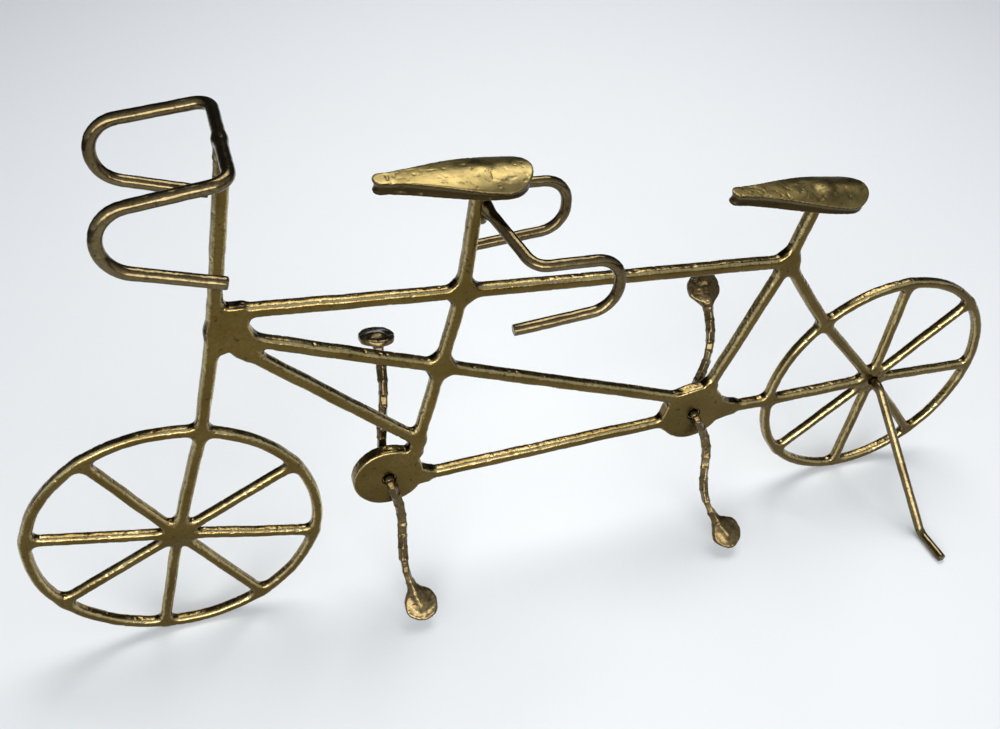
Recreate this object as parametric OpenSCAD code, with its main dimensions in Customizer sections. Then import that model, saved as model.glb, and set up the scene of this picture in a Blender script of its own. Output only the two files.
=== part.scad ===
// Tandem bicycle ornament in brass: a flat frame with its two wheels, bent wire handlebars,
// two saddles, two crank sets that turn in the frame and a wire kickstand that folds.
// The front is towards -X, the left-hand side towards -Y, and the ground is at Z = 0.

/* [Wheels] */
// Radius of the middle of the rim
rim_r = 32; // [27:1:38]
// Width of the rim, measured along a spoke
rim_w = 2.6; // [2.2:0.1:3.2]
// Depth of the rim, across the bicycle
rim_t = 3; // [2.6:0.1:3.4]
// Diameter of a spoke
spoke_d = 2.6; // [2.2:0.1:2.9]
// Radius of the small hub disc
hub_r = 3.9; // [3.4:0.1:4.8]
// Distance between the two hubs
wheelbase = 185; // [160:1:220]
// Bars that meet at each hub, the fork or the stays among them
arms_per_wheel = 8; // [8:2:8]

/* [Frame] */
// Diameter of the frame bars
bar_d = 3; // [2.5:0.1:3.4]
// Thickness of the flat lugs, plates and hubs
lug_t = 3.2; // [3:0.1:4]
// Radius of a lug where bars cross
lug_r = 2.7; // [2.4:0.1:3.2]
// Angle of the fork inside the wheel, above level
fork_angle = 71.5; // [68:0.5:76]
// Length of the fork blade above the rim
blade_len = 26.4; // [22:0.1:31]
// Angle of the fork blade above the rim
blade_angle = 76.5; // [73:0.5:80]
// Length of the steerer, from the head to the handlebar
steerer_len = 42.4; // [36:0.1:50]
// Angle of the steerer
steerer_angle = 79.2; // [76:0.1:82]
// Height of the head plate
head_h = 12.5; // [11:0.1:14]
// Length of the head plate behind the steerer
head_len = 6.6; // [5.6:0.1:8]
// Height of the rear seat lug above the hubs
seat_lug_rise = 47; // [42:0.5:54]
// Distance of the rear seat lug ahead of the rear hub
seat_lug_back = 37; // [34:0.5:40]
// Angle of the front seat tube
seat_tube_angle = 75.4; // [73:0.1:78]
// Angle at which the seat stay meets the rear hub
seat_stay_angle = 131; // [128:0.5:134]
// Angle at which the chain stay meets the rear hub
chain_stay_angle = 179; // [178:0.5:180]

/* [Bracket plates and cranks] */
// Radius of the bottom bracket plates
plate_r = 8.6; // [7.6:0.1:9.6]
// Front bracket behind the front hub
front_bracket_x = 49.6; // [48:0.1:54]
// Front bracket above the hubs
front_bracket_z = 4.2; // [2:0.1:6]
// Rear bracket ahead of the rear hub
rear_bracket_x = 55; // [52:0.1:58]
// Rear bracket above the hubs
rear_bracket_z = 3.2; // [1:0.1:5]
// Diameter of the crank spindle
spindle_d = 2.4; // [2:0.1:2.8]
// Thickness of the flat crank arm wire
arm_d = 2.3; // [2:0.1:2.6]
// Front left pedal: distance back from its spindle
front_left_back = 3.2; // [0:0.1:8.5]
// Front left pedal: distance out from the frame's middle
front_left_out = 16; // [13:0.1:21.6]
// Front left pedal: distance down from its spindle
front_left_reach = 32; // [22:0.1:32]
// Front right pedal: distance back from its spindle
front_right_back = 2.6; // [0:0.1:8.5]
// Front right pedal: distance out from the frame's middle
front_right_out = 16; // [13:0.1:21.6]
// Front right pedal: distance up from its spindle
front_right_reach = 29.4; // [22:0.1:32]
// Rear left pedal: distance back from its spindle
rear_left_back = 6.8; // [0:0.1:8.5]
// Rear left pedal: distance out from the frame's middle
rear_left_out = 18; // [13:0.1:21.6]
// Rear left pedal: distance down from its spindle
rear_left_reach = 31; // [22:0.1:32]
// Rear right pedal: distance back from its spindle
rear_right_back = 6.9; // [0:0.1:8.5]
// Rear right pedal: distance out from the frame's middle
rear_right_out = 16; // [13:0.1:21.6]
// Rear right pedal: distance up from its spindle
rear_right_reach = 26.6; // [22:0.1:32]
// Radius of the round pedal
pedal_r = 4.4; // [3.8:0.1:4.6]
// Thickness of the pedal
pedal_t = 1.8; // [1.4:0.1:2.2]

/* [Wire parts] */
// Diameter of the bent wire of the handlebars and the kickstand
wire_d = 2.4; // [2:0.1:2.8]
// Half the width of the front handlebar at its loops
bar_half_w = 15.2; // [13:0.1:18]
// Half the width of the front handlebar at its rear corners
bar_half_neck = 14.6; // [12:0.1:15]
// Forward reach of the front handlebar
bar_reach = 22.8; // [20:0.1:27]
// Height of the handlebar loop at its front
bar_drop = 10.8; // [10.2:0.1:13]
// Length of the lower run of the front handlebar
bar_tail = 20.6; // [18:0.1:24]
// Half the width of the rear handlebar
stoker_half_w = 15.2; // [13:0.1:18]
// Height of the rear handlebar loop
stoker_drop = 12.4; // [12:0.1:15]
// Length of the lower run of the rear handlebar
stoker_tail = 22.6; // [18:0.1:25]
// Outward reach of the kickstand foot
stand_out = 40.2; // [36:0.1:46]
// Length of the kickstand foot that lies on the ground
foot_len = 9.4; // [7:0.1:12]

/* [Saddles] */
// Length of the front saddle
front_saddle_len = 31.4; // [28:0.1:37]
// Length of the rear saddle
rear_saddle_len = 34.2; // [29:0.1:40]
// Radius of the saddle's nose
nose_r = 2.1; // [1.8:0.1:2.6]
// Radius of the saddle's tail
tail_r = 5.4; // [4.8:0.1:6.4]
// Thickness of the saddle at its middle
saddle_t = 3.2; // [2.8:0.1:4]
// Length of the front seat post
front_post_len = 26; // [24:0.1:31]
// Length of the rear seat post
rear_post_len = 16.8; // [13:0.1:21]

/* [Hidden] */
$fn = 48;
run_gap = 0.05;          // radial clearance of a pin that turns in its bore
side_gap = 0.3;          // clearance beside a part that turns
bend_swell = 0.06;       // a bend is this much thicker than its wire, as bent wire is
lap = 0.25;              // length by which a straight run reaches into a bend
hub_z = rim_r + rim_w / 2;
front_hub = [-wheelbase / 2, hub_z];
rear_hub = [wheelbase / 2, hub_z];
brass_cast = [0.55, 0.45, 0.2];
brass_wire = [0.68, 0.58, 0.33];
hole_r = spindle_d / 2 + run_gap;
root_r = bar_d * 0.6;
stand_hole_r = wire_d / 2 + run_gap;

function dir(a) = [cos(a), sin(a)];
function in_3d(p, y = 0) = [p[0], y, p[1]];
function unit(v) = v / norm(v);
// Point where the line through a along da meets the line through b along db
function meet(a, da, b, db) =
    a + da * ((b[0] - a[0]) * db[1] - (b[1] - a[1]) * db[0]) / (da[0] * db[1] - da[1] * db[0]);

// Places on the centre plane, as [x, z]
fork_crossing = front_hub + rim_r * dir(fork_angle);
head_foot = fork_crossing + blade_len * dir(blade_angle);
steerer_top = head_foot + steerer_len * dir(steerer_angle);
stay_crossing = rear_hub + rim_r * dir(seat_stay_angle);
chain_crossing = rear_hub + rim_r * dir(chain_stay_angle);
rear_seat_lug_at = rear_hub + [-seat_lug_back, seat_lug_rise];
front_bracket = front_hub + [front_bracket_x, front_bracket_z];
rear_bracket = rear_hub + [-rear_bracket_x, rear_bracket_z];

// Roots of the bars on the head plate
head_root_x = head_foot[0] + head_len;
top_root = [head_root_x, head_foot[1] + head_h * 0.33];
cross_root = [head_root_x, head_foot[1] - head_h * 0.26];
down_root = [head_root_x - bar_d * 0.4, head_foot[1] - head_h * 0.46];
stub_w = lug_t / 2;      // half the width of the head plate's stub on the down tube

// Roots of the bars on the bracket plates
seat_root = front_bracket + plate_r * [0.82, 0.78];
front_boom_root = front_bracket + plate_r * [1.22, -0.34];
rear_boom_root = rear_bracket + plate_r * [-0.75, -0.2];
cross_end = rear_bracket + plate_r * [-0.4, 0.6];
rear_seat_root = rear_bracket + plate_r * [0.47, 0.98];
chain_root = rear_bracket + plate_r * [1.5, -0.24];

// Places where the bars cross
seat_dir = dir(seat_tube_angle);
front_seat_lug_at = meet(seat_root, seat_dir, top_root, rear_seat_lug_at - top_root);
mid_lug_at = meet(seat_root, seat_dir, cross_root, cross_end - cross_root);
cross_dir = unit(mid_lug_at - cross_root);
down_foot = seat_root + seat_dir * bar_d;
down_dir = unit(down_foot - down_root);
cross_stub = cross_root + cross_dir * bar_d * 0.5;
down_stub = down_root + down_dir * bar_d * 1.1;

// Seat posts and saddles
front_post_top = front_seat_lug_at + front_post_len * dir(82.4);
rear_post_top = rear_seat_lug_at + rear_post_len * dir(76);
front_saddle_tilt = 5;
rear_saddle_tilt = 8;
post_from_nose = 0.68;   // share of the saddle's length that lies ahead of its post

// Front handlebar: places as [x, z]
bar_cross = steerer_top + dir(steerer_angle) * wire_d * 0.2;
bar_front_x = bar_cross[0] - bar_reach;
bar_top_slope = 5;
bar_tail_slope = 19;
bar_high = [bar_front_x, bar_cross[1] - bar_reach * tan(bar_top_slope)];
bar_low = bar_high - [0, bar_drop];
bar_end = bar_low + bar_tail * [cos(bar_tail_slope), -sin(bar_tail_slope)];
bar_loop_r = bar_drop / (tan(45 - bar_top_slope / 2) + tan(45 - bar_tail_slope / 2)) * 0.985;

// Rear handlebar: it forks behind the front seat post and its loops point backward
stoker_sink = 0.6;       // depth by which the bend is let into the seat post
stoker_below_saddle = 5.5;
stoker_on_post = front_post_top - stoker_below_saddle * dir(82.4);
stoker_apex = stoker_on_post + [(bar_d + wire_d) / 2 - stoker_sink - 0.35, 0];
stoker_neck = stoker_apex + [5.4, -5.2];
stoker_high = stoker_neck + [18.6, -1.4];
stoker_low = stoker_high - [0, stoker_drop];
stoker_end = stoker_low + stoker_tail * [-cos(3), -sin(3)];
stoker_loop_r = stoker_drop / 2 * 0.98;

// Cranks
arm_start = lug_t / 2 + 1.2;
pedal_tilt = 45;

// Kickstand: places relative to the rear hub, as [x, y, z]
stand_floor = wire_d / 2 - hub_z;
stand_elbow_y = -(lug_t / 2 + side_gap + wire_d * 0.9);
stand_head_t = 0.9;
stand_head_d = wire_d * 1.7;

// ---- building blocks ----

// A round bar on the centre plane between two points
module bar(a, b, d = bar_d) {
    v = b - a;
    translate(in_3d(a)) rotate([0, atan2(v[0], v[1]), 0]) cylinder(h = norm(v), d = d);
}

// A flat shape on the centre plane, drawn in x and z
module flat(t = lug_t) {
    rotate([90, 0, 0]) translate([0, 0, -t / 2]) linear_extrude(t) children();
}

// A round lug where bars cross
module lug(p, r = lug_r) {
    flat() translate(p) circle(r);
}

// A round hole across the frame
module cross_hole(p, r) {
    translate(in_3d(p)) rotate([90, 0, 0]) cylinder(h = lug_t * 4, r = r, center = true);
}

// What a bar loses where it ends at a lug
module lug_cut(p) {
    cross_hole(p, lug_r);
}

// The bars that run through the seat lugs, which the other bars there are coped to
module front_seat_bars() {
    bar(seat_root, mid_lug_at);
    bar(mid_lug_at, front_seat_lug_at);
    bar(front_seat_lug_at, front_post_top);
}

module rear_seat_bars() {
    bar(rear_seat_root, rear_seat_lug_at);
    bar(rear_seat_lug_at, rear_post_top);
}

// An ear that narrows from the middle of a plate to the round root of a bar
module ear(from, to, wide) {
    v = unit(to - from);
    n = [-v[1], v[0]];
    lug(to, root_r);
    flat() polygon([from + n * wide / 2, to + n * root_r * 0.96, to - n * root_r * 0.96, from - n * wide / 2]);
}

// A quarter bend, or any other, from p along u to the direction v
module bend(p, u, v, r, d) {
    a = acos(u * v);
    w = unit(v - (u * v) * u);
    k = cross(-w, u);
    c = p + r * w;
    multmatrix([[-w[0], u[0], k[0], c[0]], [-w[1], u[1], k[1], c[1]], [-w[2], u[2], k[2], c[2]]])
        rotate_extrude(angle = a) translate([r, 0]) circle(d = d + bend_swell);
}

// A straight run of wire
module run(a, b, d) {
    v = b - a;
    translate(a) rotate([0, acos(v[2] / norm(v)), atan2(v[1], v[0])]) cylinder(h = norm(v), d = d);
}

// Length that a bend of radius r takes from each side of corner i
function bend_cut(p, r, i) =
    let (u = unit(p[i] - p[i - 1]), v = unit(p[i + 1] - p[i])) r[i] * tan(acos(u * v) / 2);

// A wire through the points p, bent to the radius r[i] at each inner one
module wire(p, r, d = wire_d) {
    last = len(p) - 1;
    for (i = [0:last - 1]) {
        u = unit(p[i + 1] - p[i]);
        from = i == 0 ? p[0] : p[i] + u * bend_cut(p, r, i);
        to = i == last - 1 ? p[last] : p[i + 1] - u * bend_cut(p, r, i + 1);
        run(i == 0 ? from : from - u * lap, i == last - 1 ? to : to + u * lap, d);
        if (i < last - 1) bend(to, u, unit(p[i + 2] - p[i + 1]), r[i + 1], d);
    }
}

// ---- wheels ----

module rim_ring(hub) {
    translate(in_3d(hub)) rotate([90, 0, 0]) rotate_extrude($fn = 96)
        translate([rim_r - rim_w / 2, -rim_t / 2]) square([rim_w, rim_t]);
}

module hub_disc(hub) {
    lug(hub, hub_r);
}

// The spokes of one wheel, evenly spaced from first_angle, but for the arms that the frame fills
module spokes(hub, first_angle, arms) {
    difference() {
        for (i = arms)
            bar(hub, hub + rim_r * dir(first_angle + i * 360 / arms_per_wheel), spoke_d);
        cross_hole(hub, hub_r);
        rim_ring(hub);
    }
}

module front_rim() {
    color(brass_cast) difference() {
        rim_ring(front_hub);
        lug_cut(fork_crossing);
    }
}

module front_spokes() {
    color(brass_cast) difference() {
        spokes(front_hub, fork_angle, [1:arms_per_wheel - 1]);
        bar(front_hub, fork_crossing);
    }
}

module front_hub() {
    color(brass_cast) hub_disc(front_hub);
}

module rear_rim() {
    color(brass_cast) difference() {
        rim_ring(rear_hub);
        lug_cut(stay_crossing);
        lug_cut(chain_crossing);
    }
}

// The rear spokes stand between the two stays, which fill the first two arms
module rear_spokes() {
    color(brass_cast) difference() {
        spokes(rear_hub, seat_stay_angle, [2:arms_per_wheel - 1]);
        bar(stay_crossing, rear_hub);
        bar(chain_crossing, rear_hub);
    }
}

module rear_hub() {
    color(brass_cast) difference() {
        hub_disc(rear_hub);
        cross_hole(rear_hub, stand_hole_r);
    }
}

// ---- frame ----

module fork() {
    color(brass_cast) union() {
        difference() {
            bar(front_hub, fork_crossing);
            cross_hole(front_hub, hub_r);
        }
        lug(fork_crossing);
        bar(fork_crossing, head_foot);
    }
}

module steerer() {
    color(brass_cast) difference() {
        bar(head_foot, steerer_top);
        bar(fork_crossing, head_foot);
        handlebar_crossbar();
    }
}

module head_shape() {
    up = dir(steerer_angle);
    foot = head_foot - up * head_h * 0.42;
    top = head_foot + up * head_h * 0.58;
    cross_side = stub_w * [-cross_dir[1], cross_dir[0]];
    down_side = stub_w * [-down_dir[1], down_dir[0]];
    polygon([foot, top, [head_root_x, top_root[1] + bar_d * 0.55],
        [head_root_x, cross_root[1] + bar_d * 0.8], cross_stub + cross_side,
        cross_stub - cross_side, down_stub + down_side, down_stub - down_side,
        down_root + [-bar_d * 0.95, bar_d * 0.35]]);
}

module head_block() {
    flat(lug_t) head_shape();
}

module head_plate() {
    color(brass_cast) difference() {
        head_block();
        bar(fork_crossing, head_foot);
        bar(head_foot, steerer_top);
    }
}

module top_tube_front() {
    color(brass_cast) difference() {
        bar(top_root - [bar_d / 2, 0], front_seat_lug_at);
        head_block();
        lug_cut(front_seat_lug_at);
        front_seat_bars();
    }
}

module top_tube_rear() {
    color(brass_cast) difference() {
        bar(front_seat_lug_at, rear_seat_lug_at);
        lug_cut(front_seat_lug_at);
        lug_cut(rear_seat_lug_at);
        bar(rear_seat_root, rear_seat_lug_at);
    }
}

module cross_tube_front() {
    color(brass_cast) difference() {
        bar(cross_stub, mid_lug_at);
        lug_cut(mid_lug_at);
        front_seat_bars();
    }
}

module cross_tube_rear() {
    color(brass_cast) difference() {
        bar(mid_lug_at, cross_end);
        lug_cut(mid_lug_at);
        front_seat_bars();
        rear_plate_block();
    }
}

module down_tube() {
    color(brass_cast) difference() {
        bar(down_stub, down_foot);
        front_plate_block();
        bar(seat_root, mid_lug_at);
    }
}

module boom_tube() {
    color(brass_cast) difference() {
        bar(front_boom_root, rear_boom_root);
        front_plate_block();
        rear_plate_block();
    }
}

module front_seat_tube_lower() {
    color(brass_cast) difference() {
        bar(seat_root, mid_lug_at);
        front_plate_block();
        lug_cut(mid_lug_at);
    }
}

module front_seat_tube_upper() {
    color(brass_cast) difference() {
        bar(mid_lug_at, front_seat_lug_at);
        lug_cut(mid_lug_at);
        lug_cut(front_seat_lug_at);
        bar(front_seat_lug_at, rear_seat_lug_at);
    }
}

module front_seat_post() {
    color(brass_cast) difference() {
        bar(front_seat_lug_at, front_post_top);
        lug_cut(front_seat_lug_at);
        bar(front_seat_lug_at, rear_seat_lug_at);
        front_saddle_block();
        stoker_wire();
    }
}

module rear_seat_tube() {
    color(brass_cast) difference() {
        bar(rear_seat_root, rear_seat_lug_at);
        rear_plate_block();
        lug_cut(rear_seat_lug_at);
    }
}

module rear_seat_post() {
    color(brass_cast) difference() {
        bar(rear_seat_lug_at, rear_post_top);
        lug_cut(rear_seat_lug_at);
        bar(front_seat_lug_at, rear_seat_lug_at);
        rear_saddle_block();
    }
}

// Each stay runs from the frame over the rim to the hub, with a lug where it crosses the rim
module seat_stay() {
    color(brass_cast) union() {
        difference() {
            bar(rear_seat_lug_at, stay_crossing);
            lug_cut(rear_seat_lug_at);
            rear_seat_bars();
            bar(front_seat_lug_at, rear_seat_lug_at);
        }
        lug(stay_crossing);
        difference() {
            bar(stay_crossing, rear_hub);
            cross_hole(rear_hub, hub_r);
        }
    }
}

module chain_stay() {
    color(brass_cast) union() {
        difference() {
            bar(chain_root, chain_crossing);
            rear_plate_block();
        }
        lug(chain_crossing);
        difference() {
            bar(chain_crossing, rear_hub);
            cross_hole(rear_hub, hub_r);
            bar(stay_crossing, rear_hub);
        }
    }
}

module front_seat_lug() {
    color(brass_cast) lug(front_seat_lug_at);
}

module middle_lug() {
    color(brass_cast) lug(mid_lug_at);
}

module rear_seat_lug() {
    color(brass_cast) lug(rear_seat_lug_at);
}

// ---- bracket plates ----

module front_plate_block() {
    lug(front_bracket, plate_r);
    ear(front_bracket, seat_root, plate_r * 1.3);
    ear(front_bracket, front_boom_root, plate_r * 1.7);
}

module rear_plate_block() {
    lug(rear_bracket, plate_r);
    ear(rear_bracket, rear_seat_root, plate_r * 1.4);
    ear(rear_bracket, chain_root, plate_r * 1.7);
}

module front_bracket_plate() {
    color(brass_cast) difference() {
        front_plate_block();
        cross_hole(front_bracket, hole_r);
    }
}

module rear_bracket_plate() {
    color(brass_cast) difference() {
        rear_plate_block();
        cross_hole(rear_bracket, hole_r);
    }
}

// ---- handlebars ----

// The straight part of the front handlebar that crosses the steerer
module handlebar_crossbar() {
    neck = bar_half_neck - 4;
    run(in_3d(bar_cross, -neck), in_3d(bar_cross, neck), wire_d);
}

module front_handlebar() {
    w = bar_half_w;
    neck = bar_half_neck;
    color(brass_wire) wire(
        [in_3d(bar_end, -w), in_3d(bar_low, -w), in_3d(bar_high, -w), in_3d(bar_cross, -neck),
            in_3d(bar_cross, neck), in_3d(bar_high, w), in_3d(bar_low, w), in_3d(bar_end, w)],
        [0, bar_loop_r, bar_loop_r, 3.4, 3.4, bar_loop_r, bar_loop_r, 0]);
}

module stoker_wire() {
    w = stoker_half_w;
    wire(
        [in_3d(stoker_end, -w), in_3d(stoker_low, -w), in_3d(stoker_high, -w),
            in_3d(stoker_neck, -w), in_3d(stoker_apex, 0), in_3d(stoker_neck, w),
            in_3d(stoker_high, w), in_3d(stoker_low, w), in_3d(stoker_end, w)],
        [0, stoker_loop_r, stoker_loop_r, 4, 3, 4, stoker_loop_r, stoker_loop_r, 0]);
}

module rear_handlebar() {
    color(brass_wire) stoker_wire();
}

// ---- saddles ----

// A saddle with its nose towards -X, its post at the origin and its underside on Z = 0
module saddle_form(saddle_len) {
    nose_x = -saddle_len * post_from_nose + nose_r;
    tail_x = saddle_len * (1 - post_from_nose) - tail_r;
    lean = asin((tail_r - nose_r) / (tail_x - nose_x));
    nose_touch = nose_r * 0.985 * [-sin(lean), cos(lean)];
    tail_touch = tail_r * 0.985 * [-sin(lean), cos(lean)];
    crown_r = tail_r * 1.9;
    intersection() {
        union() {
            translate([nose_x, 0, 0]) cylinder(h = saddle_t, r = nose_r);
            translate([tail_x, 0, 0]) cylinder(h = saddle_t, r = tail_r);
            linear_extrude(saddle_t)
                polygon([[nose_x + nose_touch[0], nose_touch[1]], [tail_x + tail_touch[0], tail_touch[1]],
                    [tail_x + tail_touch[0], -tail_touch[1]], [nose_x + nose_touch[0], -nose_touch[1]]]);
        }
        translate([-saddle_len, 0, saddle_t - crown_r]) rotate([0, 90, 0])
            cylinder(h = saddle_len * 2, r = crown_r, $fn = 96);
    }
}

module front_saddle_block() {
    translate(in_3d(front_post_top)) rotate([0, front_saddle_tilt, 0]) saddle_form(front_saddle_len);
}

module rear_saddle_block() {
    translate(in_3d(rear_post_top)) rotate([0, rear_saddle_tilt, 0]) saddle_form(rear_saddle_len);
}

module front_saddle() {
    color(brass_cast) front_saddle_block();
}

module rear_saddle() {
    color(brass_cast) rear_saddle_block();
}

// ---- cranks ----

module spindle(at) {
    translate(in_3d(at)) rotate([90, 0, 0]) cylinder(h = arm_start * 2, d = spindle_d, center = true);
}

// One crank with its flat round pedal at "to", measured back, outward and along the crank.
// side is -1 on the left, and way is -1 where it hangs down.
module crank(at, to, side, way) {
    pedal = [to[0], side * to[1], way * to[2]];
    knee = [pedal[0] * 0.6, pedal[1] * 0.42, pedal[2] * 0.5];
    ankle = [pedal[0] * 0.65, pedal[1] * 0.66, pedal[2] * 0.8];
    translate(in_3d(at)) {
        wire([[0, side * arm_start, 0], [0, side * (arm_start + arm_d * 0.8), 0], knee, ankle, pedal],
            [0, arm_d * 0.6, 6, 5, 0], arm_d);
        translate(pedal) rotate([side * way * -pedal_tilt, 0, 0]) rotate([90, 0, 0])
            cylinder(h = pedal_t, r = pedal_r, center = true);
    }
}

module front_spindle() {
    color(brass_wire) spindle(front_bracket);
}

module front_left_crank() {
    color(brass_cast) crank(front_bracket, [front_left_back, front_left_out, front_left_reach], -1, -1);
}

module front_right_crank() {
    color(brass_cast) crank(front_bracket, [front_right_back, front_right_out, front_right_reach], 1, 1);
}

module rear_spindle() {
    color(brass_wire) spindle(rear_bracket);
}

module rear_left_crank() {
    color(brass_cast) crank(rear_bracket, [rear_left_back, rear_left_out, rear_left_reach], -1, -1);
}

module rear_right_crank() {
    color(brass_cast) crank(rear_bracket, [rear_right_back, rear_right_out, rear_right_reach], 1, 1);
}

// ---- kickstand ----

// A wire with a peened head, through the rear hub, out and down to a foot that lies on the ground
module kickstand() {
    head_y = lug_t / 2 + side_gap;
    ankle = [5.6, -(stand_out - foot_len), stand_floor];
    color(brass_wire) translate(in_3d(rear_hub)) {
        wire([[0, head_y, 0], [0, stand_elbow_y, 0], ankle, [5.8, -stand_out, stand_floor]],
            [0, wire_d * 0.8, 4, 0]);
        translate([0, head_y + stand_head_t / 2, 0]) rotate([90, 0, 0])
            cylinder(h = stand_head_t, d = stand_head_d, center = true);
    }
}

front_rim();
front_spokes();
front_hub();
fork();
steerer();
head_plate();
top_tube_front();
top_tube_rear();
cross_tube_front();
cross_tube_rear();
down_tube();
boom_tube();
front_seat_tube_lower();
front_seat_tube_upper();
front_seat_post();
rear_seat_tube();
rear_seat_post();
seat_stay();
chain_stay();
front_seat_lug();
middle_lug();
rear_seat_lug();
front_bracket_plate();
rear_bracket_plate();
rear_rim();
rear_spokes();
rear_hub();
front_handlebar();
rear_handlebar();
front_saddle();
rear_saddle();
front_spindle();
front_left_crank();
front_right_crank();
rear_spindle();
rear_left_crank();
rear_right_crank();
kickstand();
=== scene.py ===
import math

import bpy
import numpy as np
import openvdb
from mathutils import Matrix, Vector


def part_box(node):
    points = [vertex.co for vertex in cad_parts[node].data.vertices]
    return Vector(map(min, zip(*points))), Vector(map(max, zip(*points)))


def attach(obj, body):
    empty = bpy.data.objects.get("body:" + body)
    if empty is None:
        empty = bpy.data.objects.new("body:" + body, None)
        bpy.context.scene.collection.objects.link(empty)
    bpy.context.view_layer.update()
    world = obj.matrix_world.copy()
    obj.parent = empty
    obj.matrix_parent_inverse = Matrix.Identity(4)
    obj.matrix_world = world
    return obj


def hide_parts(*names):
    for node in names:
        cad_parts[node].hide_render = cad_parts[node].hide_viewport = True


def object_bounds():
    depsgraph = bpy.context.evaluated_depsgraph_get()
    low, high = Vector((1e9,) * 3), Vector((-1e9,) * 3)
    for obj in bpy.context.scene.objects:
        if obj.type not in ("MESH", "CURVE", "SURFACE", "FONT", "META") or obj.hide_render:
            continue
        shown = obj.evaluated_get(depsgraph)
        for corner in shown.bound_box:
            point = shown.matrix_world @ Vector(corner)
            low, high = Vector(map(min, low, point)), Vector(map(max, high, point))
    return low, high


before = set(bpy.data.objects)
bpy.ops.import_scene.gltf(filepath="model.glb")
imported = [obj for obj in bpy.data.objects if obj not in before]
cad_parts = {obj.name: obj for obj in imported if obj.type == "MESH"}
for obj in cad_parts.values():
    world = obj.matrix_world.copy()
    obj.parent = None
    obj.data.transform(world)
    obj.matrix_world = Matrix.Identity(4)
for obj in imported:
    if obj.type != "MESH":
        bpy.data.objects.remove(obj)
cad_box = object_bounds()


# ---------------------------------------------------------------- the camera
# It stands on the bicycle's left side, nearer the front and well above it, and looks down across
# the frame towards the rear.

camera_data = bpy.data.cameras.new("camera")
camera_data.sensor_width = 36.0
camera_data.lens = 37.4
camera_data.clip_start = 0.01
camera = bpy.data.objects.new("camera", camera_data)
camera.location = (-0.0741, -0.1665, 0.2232)
camera.rotation_euler = [math.radians(a) for a in (48.24, -1.44, -18.15)]
bpy.context.scene.collection.objects.link(camera)
bpy.context.scene.camera = camera


# ---------------------------------------------------------------- the studio
# A pale matt table with a pool of light painted on it: its colour runs from pale round the bicycle to
# near black further off, which is painted light and painted shade. One broad soft window low in front
# and a dimmer one overhead. The room is brightest low down on the window's side.

bpy.context.scene.view_settings.view_transform = "Standard"


def soft_light(name, place, target, width, height, watts):
    """A broad rectangular light at place that faces target."""
    data = bpy.data.lights.new(name, "AREA")
    data.shape = "RECTANGLE"
    data.size, data.size_y = width, height
    data.energy = watts
    data.color = (1.0, 0.985, 0.95)
    light = bpy.data.objects.new(name, data)
    light.location = place
    light.rotation_euler = (Vector(target) - Vector(place)).to_track_quat("-Z", "Y").to_euler()
    bpy.context.scene.collection.objects.link(light)


soft_light("window", (-0.25, -1.1, 0.42), (0, 0, 0.05), 1.3, 0.5, 14.0)
soft_light("overhead", (0.3, 0.4, 1.1), (0, 0, 0), 0.7, 0.7, 8.5)

world = bpy.data.worlds.new("room")
bpy.context.scene.world = world
world.use_nodes = True
sky = world.node_tree
gaze = sky.nodes.new("ShaderNodeTexCoord")
toward = sky.nodes.new("ShaderNodeVectorMath")
toward.operation = "DOT_PRODUCT"
toward.inputs[1].default_value = (-0.2, -0.93, -0.3)
sky.links.new(gaze.outputs["Generated"], toward.inputs[0])
glow = sky.nodes.new("ShaderNodeMapRange")
for socket, value in (("From Min", -0.6), ("From Max", 0.9), ("To Min", 0.04), ("To Max", 1.25)):
    glow.inputs[socket].default_value = value
sky.links.new(toward.outputs["Value"], glow.inputs["Value"])
room_light = sky.nodes["Background"]
room_light.inputs["Color"].default_value = (0.88, 0.92, 0.97, 1)
sky.links.new(glow.outputs["Result"], room_light.inputs["Strength"])

table_mesh = bpy.data.meshes.new("table")
reach = 4.0
table_mesh.from_pydata(
    [(-reach, -reach, 0), (reach, -reach, 0), (reach, reach, 0), (-reach, reach, 0)], [], [(0, 1, 2, 3)])
table = bpy.data.objects.new("table", table_mesh)
bpy.context.scene.collection.objects.link(table)
table_paint = bpy.data.materials.new("table_paint")
table_paint.use_nodes = True
table_tree = table_paint.node_tree
paint = table_tree.nodes["Principled BSDF"]
paint.inputs["Roughness"].default_value = 0.9
on_table = table_tree.nodes.new("ShaderNodeTexCoord")
pool = table_tree.nodes.new("ShaderNodeMapping")
pool.vector_type = "TEXTURE"
pool.inputs["Location"].default_value = (0.01, 0.07, 0)
pool.inputs["Rotation"].default_value = (0, 0, math.radians(-18))
pool.inputs["Scale"].default_value = (0.13, 0.19, 1)
far = table_tree.nodes.new("ShaderNodeVectorMath")
far.operation = "LENGTH"
fade = table_tree.nodes.new("ShaderNodeMapRange")
fade.inputs["From Max"].default_value = 5.0
# Painted light and painted shade: the table's colour is a pool of light round the bicycle that fades to near
# black.
painted_light_ramp = table_tree.nodes.new("ShaderNodeValToRGB")
painted_light_ramp.color_ramp.elements[0].color = (0.93, 0.96, 0.985, 1)
painted_light_ramp.color_ramp.elements[1].position = 0.74
painted_light_ramp.color_ramp.elements[1].color = (0.03, 0.03, 0.035, 1)
rim_of_light = painted_light_ramp.color_ramp.elements.new(0.55)
rim_of_light.color = (0.55, 0.57, 0.61, 1)
for a, b in ((on_table.outputs["Object"], pool.inputs["Vector"]), (pool.outputs[0], far.inputs[0]),
             (far.outputs["Value"], fade.inputs["Value"]), (fade.outputs[0], painted_light_ramp.inputs["Fac"]),
             (painted_light_ramp.outputs["Color"], paint.inputs["Base Color"])):
    table_tree.links.new(a, b)
table_mesh.materials.append(table_paint)


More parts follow.
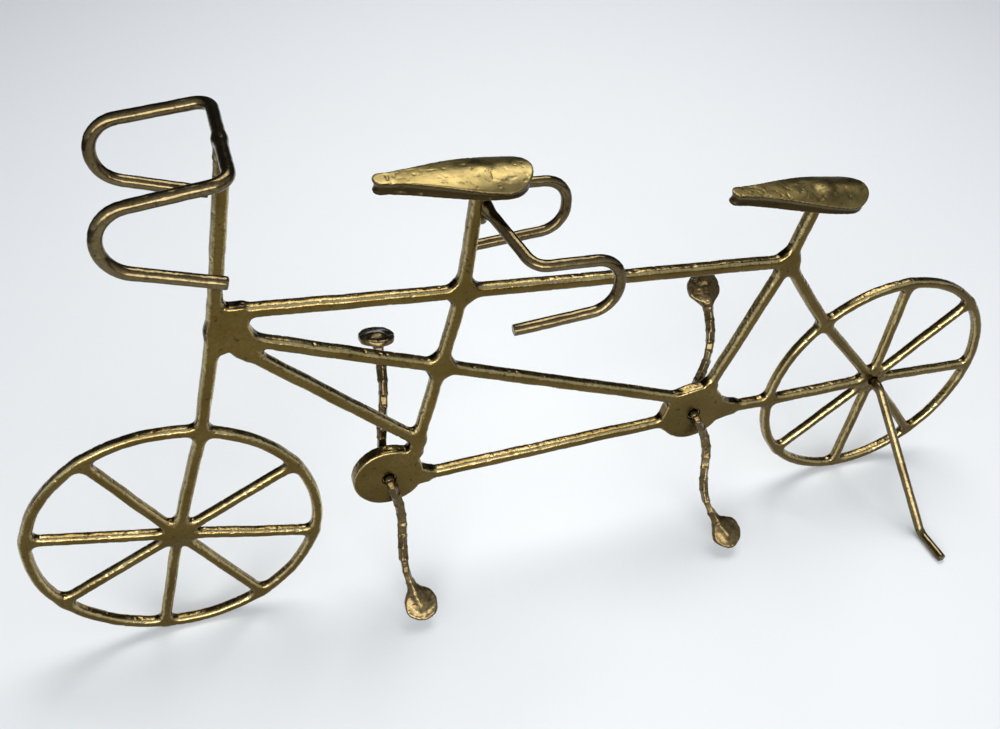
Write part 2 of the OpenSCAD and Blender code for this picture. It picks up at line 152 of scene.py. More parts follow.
# ---------------------------------------------------------------- brass
# The whole ornament is yellow brass that has gone olive brown with age. The flats ground on the
# casting's two faces are painted darker, partly as patina and partly as painted shade for the dark
# reflection they show. The edges and bends that hands touch are bright. The corners, the saddles' walls
# and the faces that look down are painted darker as painted shade.

MM = 0.001
OLIVE = (0.105, 0.069, 0.016, 1)
# The painted shade and the small dark pits share this colour.
SHADE_AND_PITS = (0.022, 0.013, 0.005, 1)
YELLOW = (0.66, 0.56, 0.30, 1)
HONEY = (0.150, 0.100, 0.030, 1)


def brass(name, flats, wear, grain_depth, roughness, tone, specks):
    """Aged brass. flats: how far its two side faces are painted darker, partly patina and partly painted
    shade, wear: how bright it is where it is rubbed, tone: the colour of its skin, specks: how far small
    bright grains show in it."""
    material = bpy.data.materials.new(name)
    material.use_nodes = True
    tree = material.node_tree
    nodes = tree.nodes
    shader = nodes["Principled BSDF"]
    shader.inputs["Metallic"].default_value = 1.0

    def node(kind, **settings):
        made = nodes.new(kind)
        for key, value in settings.items():
            setattr(made, key, value)
        return made

    def join(a, b):
        tree.links.new(a, b)

    def ramp(source, low, high, low_value=0.0, high_value=1.0):
        made = node("ShaderNodeMapRange", interpolation_type="SMOOTHSTEP")
        for key, value in (("From Min", low), ("From Max", high),
                           ("To Min", low_value), ("To Max", high_value)):
            made.inputs[key].default_value = value
        join(source, made.inputs["Value"])
        return made.outputs["Result"]

    def times(a, b):
        made = node("ShaderNodeMath", operation="MULTIPLY")
        for socket, value in zip(made.inputs, (a, b)):
            if isinstance(value, float):
                socket.default_value = value
            else:
                join(value, socket)
        return made.outputs[0]

    def mix(amount, a, b):
        made = node("ShaderNodeMix", data_type="RGBA")
        join(amount, made.inputs["Factor"])
        for socket, value in ((made.inputs["A"], a), (made.inputs["B"], b)):
            if isinstance(value, tuple):
                socket.default_value = value
            else:
                join(value, socket)
        return made.outputs["Result"]

    place = node("ShaderNodeTexCoord")

    def noise(scale, detail, rough=0.6):
        made = node("ShaderNodeTexNoise")
        made.inputs["Scale"].default_value = scale
        made.inputs["Detail"].default_value = detail
        made.inputs["Roughness"].default_value = rough
        join(place.outputs["Object"], made.inputs["Vector"])
        return made.outputs["Fac"]

    facing = node("ShaderNodeSeparateXYZ")
    join(place.outputs["Normal"], facing.inputs[0])
    across = node("ShaderNodeMath", operation="ABSOLUTE")
    join(facing.outputs["Y"], across.inputs[0])
    flat = ramp(across.outputs[0], 0.86, 0.97)
    blotch = ramp(noise(75.0, 3.0), 0.35, 0.68)
    speck = ramp(noise(1500.0, 2.0), 0.36, 0.62)
    painted_shade = node("ShaderNodeAttribute", attribute_name="painted_shade")
    rub = node("ShaderNodeAttribute", attribute_name="rub")

    bare = mix(times(speck, specks), tone, YELLOW)
    aged = mix(blotch, bare, tone)
    rubbed = mix(times(rub.outputs["Fac"], wear), aged, YELLOW)
    dark_olive = tuple(0.8 * c for c in OLIVE[:3]) + (1,)
    # Partly patina, partly painted shade: the two side faces are painted darker, standing in for the dark
    # reflection they show.
    side_patina_and_shade = mix(times(flat, flats), rubbed, mix(blotch, OLIVE, dark_olive))
    # Painted shade: the fillet corners of the casting and the saddles' walls are painted darker.
    corner_and_wall_shade = mix(times(ramp(painted_shade.outputs["Fac"], 0.10, 0.8), 0.9), side_patina_and_shade, SHADE_AND_PITS)
    # Painted shade: faces that look down are painted darker.
    underside_shade = mix(times(ramp(facing.outputs["Z"], -0.1, -0.8), 0.75), corner_and_wall_shade, SHADE_AND_PITS)
    spotted = mix(times(ramp(noise(700.0, 3.0), 0.60, 0.70), 0.6), underside_shade, SHADE_AND_PITS)
    join(spotted, shader.inputs["Base Color"])

    gloss = ramp(noise(320.0, 4.0), 0.3, 0.75, roughness * 0.8, roughness * 1.35)
    join(gloss, shader.inputs["Roughness"])
    bump = node("ShaderNodeBump")
    bump.inputs["Strength"].default_value = 1.0
    bump.inputs["Distance"].default_value = grain_depth * MM
    height = noise(1100.0, 3.0, 0.65)
    join(height, bump.inputs["Height"])
    join(bump.outputs["Normal"], shader.inputs["Normal"])
    return material


cast_brass = brass("cast_brass", 0.9, 0.75, 0.03, 0.24, HONEY, 0.35)
wire_brass = brass("wire_brass", 0.0, 0.10, 0.008, 0.20, (0.085, 0.059, 0.026, 1), 0.10)
saddle_brass = brass("saddle_brass", 0.3, 0.08, 0.006, 0.33, (0.195, 0.146, 0.050, 1), 0.08)
crank_brass = brass("crank_brass", 0.0, 0.12, 0.03, 0.26, (0.072, 0.046, 0.018, 1), 0.12)


# ---------------------------------------------------------------- the pattern of the casting
# The frame and both wheels are one flat sand casting. The foundry's pattern is laid out here in
# millimetres on the bicycle's centre plane, piece by piece, from the places the frame gives.

CELL = 0.25
FILLET = 2.4
MARGIN = 4.0


def centre(name):
    """The middle of a CAD node on the centre plane, in millimetres."""
    low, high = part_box(name)
    return np.array([low.x + high.x, low.z + high.z]) / 2 / MM


def span(name):
    """The lowest and highest corners of a CAD node, in millimetres."""
    low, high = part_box(name)
    return np.array(low) / MM, np.array(high) / MM


def heading(degrees):
    return np.array([math.cos(math.radians(degrees)), math.sin(math.radians(degrees))])


box_low, box_high = (np.array(corner) / MM for corner in (cad_box[0], cad_box[1]))
across_x = np.arange(box_low[0] - MARGIN, box_high[0] + MARGIN, CELL)
up_z = np.arange(box_low[2] - MARGIN, box_high[2] + MARGIN, CELL)
X, Z = np.meshgrid(across_x, up_z, indexing="ij")


def grain(points, size):
    """Smooth noise from -1 to 1 with lumps of that size, the same wherever it is asked for twice."""
    q = points / size
    cell = np.floor(q).astype(np.int64)
    f = q - cell
    f = f * f * (3 - 2 * f)
    total = np.zeros(len(points))
    for corner in range(8):
        step = np.array([corner & 1, corner >> 1 & 1, corner >> 2 & 1])
        i, j, k = (cell + step).T
        h = (i * 73856093 ^ j * 19349663 ^ k * 83492791) & 0xFFFFFFFF
        h = (h ^ h >> 13) * 1274126177 & 0xFFFFFFFF
        value = ((h ^ h >> 16) & 0xFFFF) / 32767.5 - 1
        total += value * np.prod(np.where(step, f, 1 - f), axis=1)
    return total


plane = np.stack([X.ravel(), np.zeros(X.size), Z.ravel()], 1)
X = X + 0.10 * grain(plane, 5.0).reshape(X.shape)
Z = Z + 0.10 * grain(plane + 500, 5.0).reshape(X.shape)


def strip(a, b, width, end_width=None):
    """Distance to a straight bar between two points, which may taper."""
    a, b = np.array(a), np.array(b)
    t = np.clip(((X - a[0]) * (b - a)[0] + (Z - a[1]) * (b - a)[1]) / ((b - a) @ (b - a)), 0, 1)
    half = (width + ((end_width or width) - width) * t) / 2
    return np.hypot(X - a[0] - t * (b - a)[0], Z - a[1] - t * (b - a)[1]) - half


def disc(at, radius):
    return np.hypot(X - at[0], Z - at[1]) - radius


def ring(at, radius, width):
    return np.abs(np.hypot(X - at[0], Z - at[1]) - radius) - width / 2


def either(*shapes):
    return np.minimum.reduce(shapes)


def patch(corners):
    """Distance to a flat web with straight sides."""
    corners = np.array(corners)
    nearest = np.full(X.shape, 1e9)
    inside = np.zeros(X.shape, bool)
    for a, b in zip(corners, np.roll(corners, -1, axis=0)):
        t = np.clip(((X - a[0]) * (b - a)[0] + (Z - a[1]) * (b - a)[1]) / ((b - a) @ (b - a)), 0, 1)
        nearest = np.minimum(nearest, np.hypot(X - a[0] - t * (b - a)[0], Z - a[1] - t * (b - a)[1]))
        crosses = (a[1] > Z) != (b[1] > Z)
        inside ^= crosses & (X < (b - a)[0] * (Z - a[1]) / (b[1] - a[1] + 1e-9) + a[0])
    return np.where(inside, -nearest, nearest)


casting = []


def lay(node, shape, thick, edge=1.2):
    """Adds a piece to the pattern. thick is its depth across the bicycle and edge rounds its corners."""
    casting.append({"node": node, "shape": shape.astype(np.float32), "thick": thick, "edge": edge})


# ---------------------------------------------------------------- hubs, lugs and plates
# Small discs where bars cross, and the two large plates that carry the cranks. Each is thicker than
# its bars and filed flat. The plates and the rear hub are drilled right through.

LUG_THICK = 3.2
LUG_RADIUS = 2.2
LUG_EDGE = 0.8
HUB_RADIUS = 3.2
PLATE_EDGE = 0.6
BAR = 3.0

front_hub, rear_hub = centre("front_hub"), centre("rear_hub")
front_axle, rear_axle = centre("front_spindle"), centre("rear_spindle")
rim_low, rim_high = span("front_rim")
RIM_WIDTH = 2.5
rim_radius = (rim_high[2] - rim_low[2]) / 2 - RIM_WIDTH / 2
plate_radius = rear_axle[0] - span("rear_bracket_plate")[0][0]

front_seat_lug, middle_lug, rear_seat_lug = (
    centre(name) for name in ("front_seat_lug", "middle_lug", "rear_seat_lug"))
for node, at, radius in (("front_seat_lug", front_seat_lug, LUG_RADIUS),
                         ("middle_lug", middle_lug, LUG_RADIUS),
                         ("rear_seat_lug", rear_seat_lug, LUG_RADIUS),
                         ("front_hub", front_hub, HUB_RADIUS),
                         ("rear_hub", rear_hub, HUB_RADIUS)):
    lay(node, disc(at, radius), LUG_THICK, LUG_EDGE)

seat_root = front_axle + plate_radius * np.array([0.82, 0.78])
front_boom_root = front_axle + plate_radius * np.array([1.16, -0.30])
rear_seat_root = rear_axle + plate_radius * np.array([0.47, 0.98])
rear_boom_root = rear_axle + plate_radius * np.array([-0.75, -0.2])
chain_root = rear_axle + plate_radius * np.array([1.45, -0.22])
cross_end = rear_axle + plate_radius * np.array([-0.4, 0.6])


def ear(at, root, wide):
    """The web that narrows from a plate to the root of a bar."""
    side = np.array([at[1] - root[1], root[0] - at[0]]) / np.linalg.norm(root - at)
    return patch([at + side * wide / 2, root + side * BAR / 2,
                  root - side * BAR / 2, at - side * wide / 2])


front_plate = either(disc(front_axle, plate_radius),
                     ear(front_axle, seat_root, plate_radius * 1.3),
                     ear(front_axle, front_boom_root, plate_radius * 1.6))
rear_plate = either(disc(rear_axle, plate_radius),
                    ear(rear_axle, rear_seat_root, plate_radius * 1.4),
                    ear(rear_axle, chain_root, plate_radius * 1.6))
lay("front_bracket_plate", front_plate, LUG_THICK, PLATE_EDGE)
lay("rear_bracket_plate", rear_plate, LUG_THICK, PLATE_EDGE)


# ---------------------------------------------------------------- wheels
# Each wheel is a cast ring with eight arms, which are not quite evenly spaced. One arm of the front
# wheel is the fork itself, and two arms of the rear wheel are the stays.

FORK_ANGLE = 71.5
SEAT_STAY_ANGLE = 131.0
CHAIN_STAY_ANGLE = 179.0
SPOKE = 2.55
SPOKE_END = 1.0
SPOKE_THICK = 2.5
RIM_THICK = 2.7
WHEEL_EDGE = 1.05

front_angles = [27.0, 342.5, 299.0, 254.5, 207.0, 165.0, 118.0]
rear_angles = [87.0, 41.0, 355.4, 308.0, 264.0, 219.0]
spoke_reach = rim_radius - SPOKE_END


def arms(hub, angles):
    """Distance to a wheel's arms, which end inside its rim."""
    return either(*[strip(hub, hub + spoke_reach * heading(a), SPOKE) for a in angles])


lay("front_rim", ring(front_hub, rim_radius, RIM_WIDTH), RIM_THICK, WHEEL_EDGE)
lay("rear_rim", ring(rear_hub, rim_radius, RIM_WIDTH), RIM_THICK, WHEEL_EDGE)
lay("front_spokes", arms(front_hub, front_angles), SPOKE_THICK, WHEEL_EDGE)
lay("rear_spokes", arms(rear_hub, rear_angles), SPOKE_THICK, WHEEL_EDGE)


# ---------------------------------------------------------------- fork, steerer and head
# The fork runs from the front hub over the rim to the head, where a flat web joins it to three tubes.
# The steerer goes on up from the head to the handlebar.

STEERER_ANGLE = 79.2
STEERER_LENGTH = 40.1
BLADE = 2.8

fork_crossing = front_hub + rim_radius * heading(FORK_ANGLE)
steerer_high = span("steerer")[1]
steerer_top = np.array([steerer_high[0] - 1.4, steerer_high[2] - 2.3])
head_foot = steerer_top - STEERER_LENGTH * heading(STEERER_ANGLE)
up_steerer = (steerer_top - head_foot) / np.linalg.norm(steerer_top - head_foot)
head_edge = span("top_tube_front")[0][0]

top_root = np.array([head_edge, head_foot[1] + 4.1])
cross_root = np.array([head_edge, head_foot[1] - 3.2])
down_root = np.array([head_edge - 1.2, head_foot[1] - 5.8])
lay("head_plate", patch([head_foot - up_steerer * 5.2, head_foot + up_steerer * 6.6, top_root + [0.2, 1.2],
                         cross_root + [1.2, 1.6], down_root + [2.6, -0.6], down_root + [0.8, -2.0],
                         down_root + [-2.6, 0.8]]), LUG_THICK, PLATE_EDGE)
lay("fork", either(strip(front_hub, fork_crossing, BLADE), strip(fork_crossing, head_foot, 2.9, 3.1)), BAR)
lay("steerer", strip(head_foot, steerer_top, BAR), BAR)


# ---------------------------------------------------------------- tubes, posts and stays
# Straight cast bars between the lugs. The top and cross tubes each run in two lengths past the
# front seat tube, and the posts carry on above the lugs to the saddles.


def top_of(post):
    """The middle of a post's upper end."""
    high = span(post)[1]
    return np.array([high[0] - BAR / 2, high[2] - 0.2])


front_post_top, rear_post_top = top_of("front_seat_post"), top_of("rear_seat_post")
stay_crossing = rear_hub + rim_radius * heading(SEAT_STAY_ANGLE)
chain_crossing = rear_hub + rim_radius * heading(CHAIN_STAY_ANGLE)

straight_bars = (
    ("top_tube_front", top_root, front_seat_lug),
    ("top_tube_rear", front_seat_lug, rear_seat_lug),
    ("cross_tube_front", cross_root, middle_lug),
    ("cross_tube_rear", middle_lug, cross_end),
    ("down_tube", down_root, seat_root + [0.7, 2.9]),
    ("boom_tube", front_boom_root, rear_boom_root),
    ("front_seat_tube_lower", seat_root, middle_lug),
    ("front_seat_tube_upper", middle_lug, front_seat_lug),
    ("front_seat_post", front_seat_lug, front_post_top),
    ("rear_seat_tube", rear_seat_root, rear_seat_lug),
    ("rear_seat_post", rear_seat_lug, rear_post_top))
for node, a, b in straight_bars:
    lay(node, strip(a, b, BAR), BAR)
lay("seat_stay", either(strip(rear_seat_lug, stay_crossing, BAR), strip(stay_crossing, rear_hub, BLADE)), BAR)
lay("chain_stay", either(strip(chain_root, chain_crossing, BAR), strip(chain_crossing, rear_hub, BLADE)), BAR)


# ---------------------------------------------------------------- pouring the casting
# The metal fills the whole pattern with a fillet in every corner. It is then parted into its named
# pieces where one meets the next, and each piece gets the rough skin that sand leaves.

OVERLAP = 0.5
SEAM = 0.12
BORE = 1.3
CREASE = math.radians(40)


def fuse(a, b, radius):
    """Two solids run together with a fillet of metal between them."""
    near = np.maximum(radius - np.abs(a - b), 0) / radius
    return np.minimum(a, b) - near * near * radius / 4


def rounded(out, deep, edge):
    """What lies inside two distances, with the corner between them rounded."""
    return np.minimum(np.maximum(out, deep), 0) + np.hypot(np.maximum(out, 0), np.maximum(deep, 0)) - edge


def mesh_object(name, points, faces):
    """A smooth mesh object from points in millimetres and four-cornered faces."""
    mesh = bpy.data.meshes.new(name)
    mesh.vertices.add(len(points))
    mesh.vertices.foreach_set("co", (points * MM).ravel())
    mesh.loops.add(faces.size)
    mesh.loops.foreach_set("vertex_index", faces.ravel())
    mesh.polygons.add(len(faces))
    mesh.polygons.foreach_set("loop_start", np.arange(0, faces.size, 4))
    mesh.polygons.foreach_set("use_smooth", np.ones(len(faces), bool))
    mesh.update(calc_edges=True)
    piece = bpy.data.objects.new(name, mesh)
    bpy.context.scene.collection.objects.link(piece)
    return piece


def skin(field, origin, cell):
    """The surface where a block of distances is zero, as points and faces that look outward."""
    grid = openvdb.FloatGrid(background=1.0)
    grid.copyFromArray(np.ascontiguousarray(field, np.float32))
    points, faces = grid.convertToQuads(isovalue=0.0)
    points = points * cell + np.array(origin)
    a, b, c = (points[faces[:, i]] for i in (0, 1, 2))
    if np.einsum("ij,ij->i", a, np.cross(b, c)).sum() < 0:
        faces = faces[:, ::-1]
    return points.astype(float), np.ascontiguousarray(faces)


def vertex_arrays(piece):
    mesh = piece.data
    points, normals = np.empty(len(mesh.vertices) * 3), np.empty(len(mesh.vertices) * 3)
    mesh.vertices.foreach_get("co", points)
    mesh.vertices.foreach_get("normal", normals)
    return points.reshape(-1, 3) / MM, normals.reshape(-1, 3)


def roughen(piece, swell, pit, flats=0.0):
    """Moves the surface in and out as sand leaves it, except on the two ground flats."""
    points, normals = vertex_arrays(piece)
    rough = 1 - flats * np.clip((np.abs(normals[:, 1]) - 0.8) / 0.15, 0, 1)
    lumps = swell * (0.6 * grain(points, 2.6) + 0.4 * grain(points + 90, 1.1))
    pits = -pit * np.clip(grain(points + 40, 0.75) - 0.35, 0, 1) / 0.65
    points = points + normals * ((lumps + pits) * rough)[:, None]
    piece.data.vertices.foreach_set("co", (points * MM).ravel())
    piece.data.update()


def mark(piece, name, values):
    attribute = piece.data.attributes.new(name, "FLOAT", "POINT")
    attribute.data.foreach_set("value", np.clip(values, 0, 1).astype(np.float32))


hole = either(*[disc(at, BORE) for at in (front_axle, rear_axle, rear_hub)])
shapes = np.stack([part["shape"] for part in casting])
plain = shapes.min(axis=0)
metal = shapes[0]
for other in shapes[1:]:
    metal = fuse(metal, other, FILLET)
weights = np.exp(-(shapes - plain) / 0.6)
half = np.tensordot([part["thick"] / 2 for part in casting], weights, 1) / weights.sum(0)
edge = np.tensordot([part["edge"] for part in casting], weights, 1) / weights.sum(0)
fillet_depth = plain - metal
metal = np.maximum(metal, -hole)
depth_y = np.arange(-LUG_THICK / 2 - 3 * CELL, LUG_THICK / 2 + 4 * CELL, CELL)

for index, part in enumerate(casting):
    own = shapes[index]
    others = np.delete(shapes, index, axis=0).min(axis=0)
    beyond = np.clip(own - others, 0, OVERLAP)
    inside = own - others - OVERLAP
    rows, columns = np.where(np.maximum(inside, metal) < 2 * CELL)
    window = (slice(rows.min() - 1, rows.max() + 2), slice(columns.min() - 1, columns.max() + 2))
    flat_field = (metal + SEAM * beyond)[window]
    bend = edge[window]
    out = flat_field + bend
    deep = np.abs(depth_y)[None, :, None] - (half[window] - bend - SEAM * beyond[window])[:, None, :]
    out = np.broadcast_to(out[:, None, :], deep.shape)
    body = np.maximum(rounded(out, deep, bend[:, None, :]), inside[window][:, None, :])
    body[[0, -1]], body[:, [0, -1]], body[:, :, [0, -1]] = 1, 1, 1
    origin = (across_x[window[0].start], depth_y[0], up_z[window[1].start])
    points, faces = skin(body, origin, CELL)
    piece = mesh_object("cast_" + part["node"], points, faces)
    roughen(piece, 0.07, 0.14, 0.85)
    points, normals = vertex_arrays(piece)
    ix = np.clip(((points[:, 0] - across_x[0]) / CELL).round().astype(int), 0, len(across_x) - 1)
    iz = np.clip(((points[:, 2] - up_z[0]) / CELL).round().astype(int), 0, len(up_z) - 1)
    # Painted shade: the fillet corners are marked to be painted darker.
    mark(piece, "painted_shade", fillet_depth[ix, iz] / (FILLET / 4) * (np.abs(normals[:, 1]) < 0.8))
    mark(piece, "rub", 1 - np.abs(np.abs(normals[:, 1]) - 0.6) / 0.25)
    piece.data.materials.append(cast_brass)
    piece.data.set_sharp_from_angle(angle=CREASE)
    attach(piece, "frame")
    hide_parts(part["node"])


# ---------------------------------------------------------------- handlebars
# Each is one length of round brass wire bent by hand over pegs. The front one is brazed across the
# steerer's top and the rear one forks round the back of the front seat post.

WIRE_RADIUS = 1.2


def unit(v):
    return v / np.linalg.norm(v)


def room(low, high, cell):
    """A block of places between two corners, all as one list, with the block's shape."""
    axes = [np.arange(a - 3 * cell, b + 3 * cell, cell) for a, b in zip(low, high)]
    block = np.stack(np.meshgrid(*axes, indexing="ij"), -1)
    return block.reshape(-1, 3), block.shape[:3]


def bent(corners, radii):
    """A wire's middle line, from the places where its straight runs would meet and the bend at each."""
    line = [corners[0]]
    for before, at, after, radius in zip(corners, corners[1:], corners[2:], radii):
        u, v = unit(before - at), unit(after - at)
        open_angle = math.acos(u @ v)
        middle = at + unit(u + v) * radius / math.sin(open_angle / 2)
        first, last = (at + w * radius / math.tan(open_angle / 2) - middle for w in (u, v))
        swing = math.pi - open_angle
        for share in np.linspace(0, 1, 9):
            line.append(middle + (math.sin((1 - share) * swing) * first + math.sin(share * swing) * last)
                        / math.sin(swing))
    return line + [corners[-1]]


def rod(places, line, radius, end_radius=None):
    """Distance to a round wire along a line, which may taper."""
    nearest = np.full(len(places), 1e9)
    lengths = np.linalg.norm(np.diff(np.array(line), axis=0), axis=1)
    gone = 0.0
    for a, b, length in zip(line, line[1:], lengths):
        t = np.clip((places - a) @ (b - a) / (length * length), 0, 1)
        share = (gone + t * length) / lengths.sum()
        thick = radius + ((end_radius or radius) - radius) * share
        nearest = np.minimum(nearest, np.linalg.norm(places - a - t[:, None] * (b - a), axis=1) - thick)
        gone += length
    return nearest


def saw_off(places, field, end, outward):
    """Cuts a wire square at its end."""
    past = (places - end) @ outward
    close = 3.0 - np.linalg.norm(places - end, axis=1)
    return np.maximum(field, np.minimum(past, close))


def bring_out(name, field, shape, low, cell, node, body, material, swell, pit, rub, wall_shade=0.0):
    """Turns a block of distances into a finished piece that stands for a CAD node. swell and pit: how
    rough its skin is, rub: how bright it is worn, and the last argument: how far its walls are painted
    darker, as painted shade."""
    field = field.reshape(shape).copy()
    field[[0, -1]], field[:, [0, -1]], field[:, :, [0, -1]] = 1, 1, 1
    points, faces = skin(field, np.array(low) - 3 * cell, cell)
    piece = mesh_object(name, points, faces)
    roughen(piece, swell, pit)
    points, normals = vertex_arrays(piece)
    # Painted shade: the walls, which face sideways, are marked to be painted darker.
    mark(piece, "painted_shade", wall_shade * np.clip(1.6 - 2.6 * np.abs(normals[:, 2]), 0, 1))
    mark(piece, "rub", rub * (0.6 + 0.6 * grain(points, 4.0)))
    piece.data.set_sharp_from_angle(angle=CREASE)
    piece.data.materials.append(material)
    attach(piece, body)
    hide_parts(node)


def level(p, y):
    return np.array([p[0], y, p[1]])


def both_sides(half, middle):
    """The left half of a wire's corners, then what lies between, then the same corners on the right."""
    return [level(p, -y) for p, y in half] + middle + [level(p, y) for p, y in reversed(half)]


WIRE_CELL = 0.3
BEND_SWELL = 0.05
FRONT_DROP = 10.8
FRONT_RUN = 20.6
FRONT_RUN_ANGLE = -19
REAR_DROP = 12.4
REAR_RUN = 22.6
REAR_RUN_ANGLE = 183

low, high = span("front_handlebar")
grip = high[1] - WIRE_RADIUS
top = np.array([high[0] - WIRE_RADIUS, high[2] - WIRE_RADIUS])
front = low[0] + WIRE_RADIUS
upper = np.array([front, top[1] - (top[0] - front) * math.tan(math.radians(5))])
lower = upper - [0, FRONT_DROP]
tail = lower + FRONT_RUN * heading(FRONT_RUN_ANGLE)
half = [(tail, grip), (lower, grip), (upper, grip), (top, grip - 0.6)]
line = bent(both_sides(half, []), [6.5, 6.5, 3.4, 3.4, 6.5, 6.5])
places, shape = room(low, high, WIRE_CELL)
field = rod(places, line, WIRE_RADIUS + BEND_SWELL)
stem = [level(top - up_steerer * 3.6, 0), level(top - up_steerer * 0.8, 0)]
field = fuse(field, rod(places, stem, 1.25, 0.9), 2.2)
for side in (-grip, grip):
    field = saw_off(places, field, level(tail, side), level(heading(FRONT_RUN_ANGLE), 0))
bring_out("front_handlebar_wire", field, shape, low, WIRE_CELL, "front_handlebar", "frame", wire_brass,
          0.06, 0.05, 0.8)

low, high = span("rear_handlebar")
grip = high[1] - WIRE_RADIUS
apex = np.array([low[0] + WIRE_RADIUS, high[2] - WIRE_RADIUS])
neck = apex + [5.4, -5.2]
upper = neck + [18.6, -1.4]
lower = upper - [0, REAR_DROP]
tail = lower + REAR_RUN * heading(REAR_RUN_ANGLE)
half = [(tail, grip), (lower, grip), (upper, grip), (neck, grip)]
line = bent(both_sides(half, [level(apex, 0)]), [6.0, 6.0, 4, 3, 4, 6.0, 6.0])
places, shape = room(low, high, WIRE_CELL)
field = rod(places, line, WIRE_RADIUS + BEND_SWELL)
web = [level(apex + [-0.4, 0.6], 0), level(apex + [-0.6, -3.0], 0)]
field = fuse(field, rod(places, web, 0.9), 2.4)
for side in (-grip, grip):
    field = saw_off(places, field, level(tail, side), level(heading(REAR_RUN_ANGLE), 0))
bring_out("rear_handlebar_wire", field, shape, low, WIRE_CELL, "rear_handlebar", "frame", wire_brass,
          0.06, 0.05, 0.8)


# ---------------------------------------------------------------- saddles
# Each saddle is a solid leaf of cast brass, domed and polished on top and scooped out underneath, with
# a thick rim. Its walls are painted darker than its top as painted shade. It is brazed on its post with a
# flared collar.

SADDLE_CELL = 0.22
SADDLE_EDGE = 0.6
ROLL = math.radians(8)


def saddle(node, post_top, post_foot, tilt, length):
    low, high = span(node)
    low, high = low - [1, 1, 3.5], high + [1, 1, 1]
    places, shape = room(low, high, SADDLE_CELL)
    along = np.array([math.cos(math.radians(tilt)), 0, -math.sin(math.radians(tilt))])
    upward = np.array([math.sin(math.radians(tilt)), 0, math.cos(math.radians(tilt))])
    side = np.cross(upward, along)
    side, upward = (math.cos(ROLL) * side + math.sin(ROLL) * upward,
                    math.cos(ROLL) * upward - math.sin(ROLL) * side)
    local = places - level(post_top, 0)
    s, y, h = local @ along, local @ side, local @ upward
    nose, tail_at = -0.70 * length + 2.0, 0.32 * length - 5.6
    share = np.clip((s - nose) / (tail_at - nose), 0, 1)
    width = 2.0 + 4.2 * (share * share * (3 - 2 * share)) ** 0.85
    outline = np.hypot(s - nose - share * (tail_at - nose), y) - width
    thick = 3.1 + 0.7 * share - 2.0 * share * np.minimum(np.abs(y) / 5.8, 1) ** 2
    deep = np.abs(h - thick / 2) - thick / 2 + SADDLE_EDGE
    waist = 0.8 * np.clip(1 - ((h - 0.45 * thick) / (0.55 * thick)) ** 2, 0, 1)
    out = outline + SADDLE_EDGE + waist
    body = rounded(out, deep, SADDLE_EDGE)
    scoop = np.hypot(np.maximum(outline + 2.4, 0), np.maximum(h - 0.7, 0)) - 0.3
    body = -fuse(-body, scoop, 0.9)
    collar = [level(post_top, 0) + 1.2 * upward, level(post_top - 2.6 * unit(post_top - post_foot), 0)]
    body = fuse(body, rod(places, collar, 1.9, 1.45), 2.2)
    # Painted shade: the saddle's walls are painted darker.
    bring_out(node + "_leaf", body, shape, low, SADDLE_CELL, node, "frame", saddle_brass,
              0.03, 0.08, 1.0, wall_shade=0.8)


saddle("front_saddle", front_post_top, front_seat_lug, 5, 31.4)
saddle("rear_saddle", rear_post_top, rear_seat_lug, 8, 34.2)


# ---------------------------------------------------------------- cranks
# Each axle is a short brass pin that turns in its plate. A strip is hammered square, twisted and brazed
# on at each end, and its own end is beaten out flat and round for a pedal.

CRANK_CELL = 0.2
PIN_END = 2.6
ARM_ROOT = 3.4
ARM_LENGTHS = 12
ARM_TWIST = 21
PEDAL_EDGE = 0.5
PIN_CELL = 0.15
PIN_HALF = 1.9
PIN_RADIUS = 1.12
PEDAL_FACE = unit(np.array([0.0, -1.0, 1.0]))


def block(places, a, b, twist, half_wide, half_thick, edge=0.3):
    """Distance to one straight length of a four-sided strip, turned by twist about its own line."""
    along = unit(b - a)
    flat = unit(np.cross(along, [1.0, 0.2, 0.0]))
    other = np.cross(along, flat)
    turn = math.radians(twist)
    u = math.cos(turn) * flat + math.sin(turn) * other
    v = np.cross(along, u)
    rest = places - (a + b) / 2
    sizes = (half_wide, half_thick, np.linalg.norm(b - a) / 2 + 0.35)
    q = np.stack([np.abs(rest @ w) - size + edge for w, size in zip((u, v, along), sizes)])
    return np.minimum(q.max(axis=0), 0) + np.linalg.norm(np.maximum(q, 0), axis=0) - edge


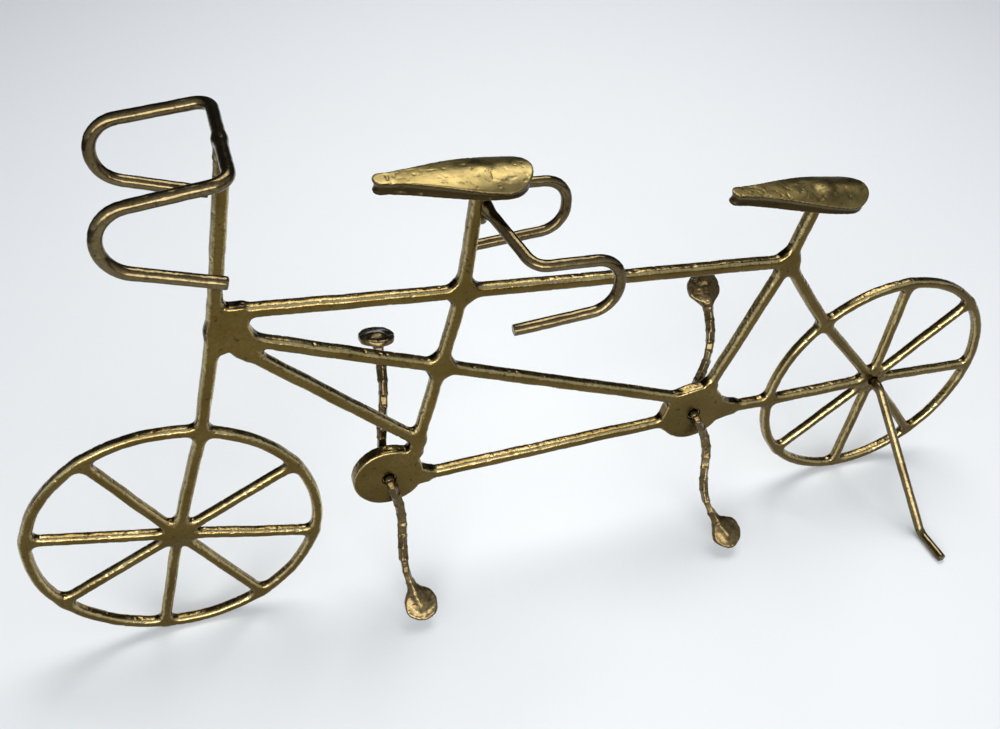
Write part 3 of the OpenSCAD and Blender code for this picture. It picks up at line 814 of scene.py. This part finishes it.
def crank(node, axle, body, pedal, face, pedal_radius, bow=0.0, sway=0.0, flare=1.6):
    """One crank. pedal: where its pedal is from the axle. bow and sway: how far its arm bends back and to
    and fro on the way, flare: how late it leans outward."""
    back, out, reach = pedal
    root = math.copysign(ARM_ROOT, out)
    line = [level(axle, 0) + [0, math.copysign(PIN_END, out), 0]]
    for t in np.linspace(0.03, 1, ARM_LENGTHS):
        x = back * t ** 1.5 + bow * math.sin(math.pi * t) + sway * math.sin(2 * math.pi * t)
        line.append(level(axle, 0) + [x, root + (out - root) * t ** flare, reach * t])
    low, high = np.array(line).min(axis=0) - 6, np.array(line).max(axis=0) + 6
    places, shape = room(low, high, CRANK_CELL)
    field = np.full(len(places), 1e9)
    for index, (a, b) in enumerate(zip(line, line[1:])):
        wide, thin = (1.1, 0.8) if index % 4 < 2 else (0.95, 0.95)
        field = fuse(field, block(places, a, b, ARM_TWIST * index + 20, wide, thin), 0.5)
    rest = places - line[-1]
    off = rest @ face
    dented = 0.25 * grain(places, 3.0) + 0.12 * grain(places + 30, 1.3)
    from_middle = np.sqrt(np.maximum((rest * rest).sum(axis=1) - off * off, 0))
    past_rim = from_middle - pedal_radius + dented + PEDAL_EDGE
    past_face = np.abs(off) - 0.8 + 0.3 * dented + PEDAL_EDGE
    field = fuse(field, rounded(past_rim, past_face, PEDAL_EDGE), 2.6)
    bring_out(node + "_strip", field, shape, low, CRANK_CELL, node, body, crank_brass, 0.09, 0.10, 0.7)


def spindle(node, axle, body):
    hub = level(axle, 0)
    low, high = hub - [1.6, 3.6, 1.6], hub + [1.6, 3.6, 1.6]
    places, shape = room(low, high, PIN_CELL)
    field = rod(places, [hub - [0, PIN_HALF, 0], hub + [0, PIN_HALF, 0]], PIN_RADIUS)
    bring_out(node + "_pin", field, shape, low, PIN_CELL, node, body, wire_brass, 0.02, 0.02, 1.0)


spindle("front_spindle", front_axle, "front_crank")
crank("front_left_crank", front_axle, "front_crank", (3.2, -16.0, -32.0), PEDAL_FACE, 4.2, sway=1.2)
crank("front_right_crank", front_axle, "front_crank", (2.6, 16.0, 29.4),
      unit(np.array([0.1, 0.25, 0.96])), 4.3, sway=-0.5, flare=2.4)
spindle("rear_spindle", rear_axle, "rear_crank")
crank("rear_left_crank", rear_axle, "rear_crank", (6.8, -18.0, -31.0), PEDAL_FACE, 4.1, sway=2.2)
crank("rear_right_crank", rear_axle, "rear_crank", (6.9, 16.0, 26.6), PEDAL_FACE, 4.3, bow=4.3)


# ---------------------------------------------------------------- kickstand
# One bent length of wire turns in the rear hub, where its end is peened over on the far side. It
# slopes out and down, and its last part lies along the ground.

ELBOW_OUT = 4.1
FOOT_LENGTH = 9.4
SPARE = 0.6

low, high = span("kickstand")
floor_z = low[2] + WIRE_RADIUS
head_y = high[1] - 0.4
foot = np.array([rear_hub[0] + 5.8, low[1], floor_z])
ankle = np.array([rear_hub[0] + 5.6, low[1] + FOOT_LENGTH, floor_z])
line = bent([level(rear_hub, head_y), level(rear_hub, -ELBOW_OUT), ankle, foot], [1.9, 4.0])
places, shape = room(low - SPARE, high + SPARE, WIRE_CELL)
field = saw_off(places, rod(places, line, WIRE_RADIUS), foot, np.array([0.0, -1.0, 0.0]))
out = np.hypot(places[:, 0] - rear_hub[0], places[:, 2] - rear_hub[1]) - 1.7
deep = np.abs(places[:, 1] - head_y) - 0.1
field = fuse(field, np.hypot(np.maximum(out, 0), np.maximum(deep, 0)) - 0.3, 0.4)
bring_out("kickstand_wire", field, shape, low - SPARE, WIRE_CELL, "kickstand", "stand", wire_brass,
          0.05, 0.05, 1.0)
